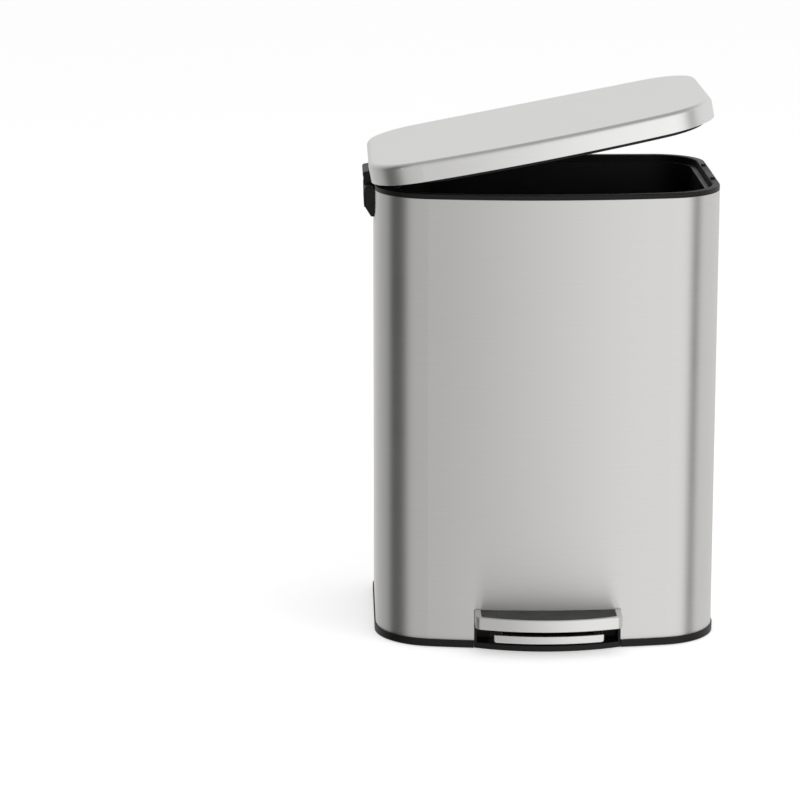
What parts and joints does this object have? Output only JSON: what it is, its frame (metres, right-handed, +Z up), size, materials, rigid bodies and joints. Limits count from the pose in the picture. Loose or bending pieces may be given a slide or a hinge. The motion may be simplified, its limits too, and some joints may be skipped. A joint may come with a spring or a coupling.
{
  "type": "step trash can",
  "caption": "Rectangular steel step trash can with a bowed front, a front pedal, a side-hinged lid drawn partly open, and a lift-out inner bucket.",
  "frame": {"origin": "on the floor under the centre of the body's plan", "axes": "+Z up, +X from the lid's hinge to its opening end, -Y towards the pedal"},
  "size_m": [0.4258, 0.3575, 0.6549],
  "materials": {
    "body_steel": "vertically brushed, clear lacquered",
    "lid_steel": "fine satin",
    "pedal_steel": "satin",
    "hardware_steel": "zinc plated",
    "black_plastic": "fine texture",
    "damper_plastic": "smooth",
    "bucket_plastic": "moulded matt",
    "rubber": "matt",
    "pad_rubber": "ribbed"
  },
  "bodies": {
    "body": {"outer_shell": "body_steel", "base_tray": "black_plastic", "rubber_feet": "rubber", "rim_collar": "black_plastic", "lid_bumpers": "rubber", "inner_bucket": "bucket_plastic", "pedal_housing": "black_plastic", "hinge_housing": "black_plastic", "hinge_pin": "hardware_steel", "hinge_screws": "hardware_steel", "hinge_backplate": "hardware_steel", "rod_guides": "black_plastic", "damper_cylinder": "damper_plastic", "damper_clips": "hardware_steel", "shaft_bearings": "black_plastic"},
    "lid": {"lid_shell": "lid_steel", "lid_liner": "black_plastic", "lid_hinge": "black_plastic", "lid_screws": "hardware_steel", "lid_crank": "hardware_steel"},
    "push_rod": {"push_rod": "hardware_steel", "rod_foot": "black_plastic", "rod_head": "black_plastic", "damper_piston": "hardware_steel", "damper_link": "black_plastic"},
    "pedal": {"cross_shaft": "hardware_steel", "lift_arm": "hardware_steel", "pedal_lever": "hardware_steel", "pedal_core": "black_plastic", "pedal_band": "pedal_steel", "pedal_pad": "pad_rubber", "pedal_lower_bar": "pedal_steel", "pedal_rivets": "hardware_steel"}
  },
  "joints": [
    {"name": "lid_hinge", "type": "hinge", "parent": "body", "child": "lid", "pos_m": [-0.2115, 0, 0.54], "axis": [0, -1, 0], "range_deg": [-11, 69]},
    {"name": "rod_slide", "type": "slide", "parent": "body", "child": "push_rod", "axis": [0, 0, 1], "range_m": [-0.0032, 0.01998]},
    {"name": "pedal_hinge", "type": "hinge", "parent": "body", "child": "pedal", "pos_m": [0, -0.113, 0.022], "axis": [1, 0, 0], "range_deg": [-1.67, 10.19]}
  ],
  "couplings": [
    {"joint": "rod_slide", "follows": "lid_hinge", "m_per_rad": 0.016573},
    {"joint": "pedal_hinge", "follows": "lid_hinge", "ratio": 0.14692}
  ]
}
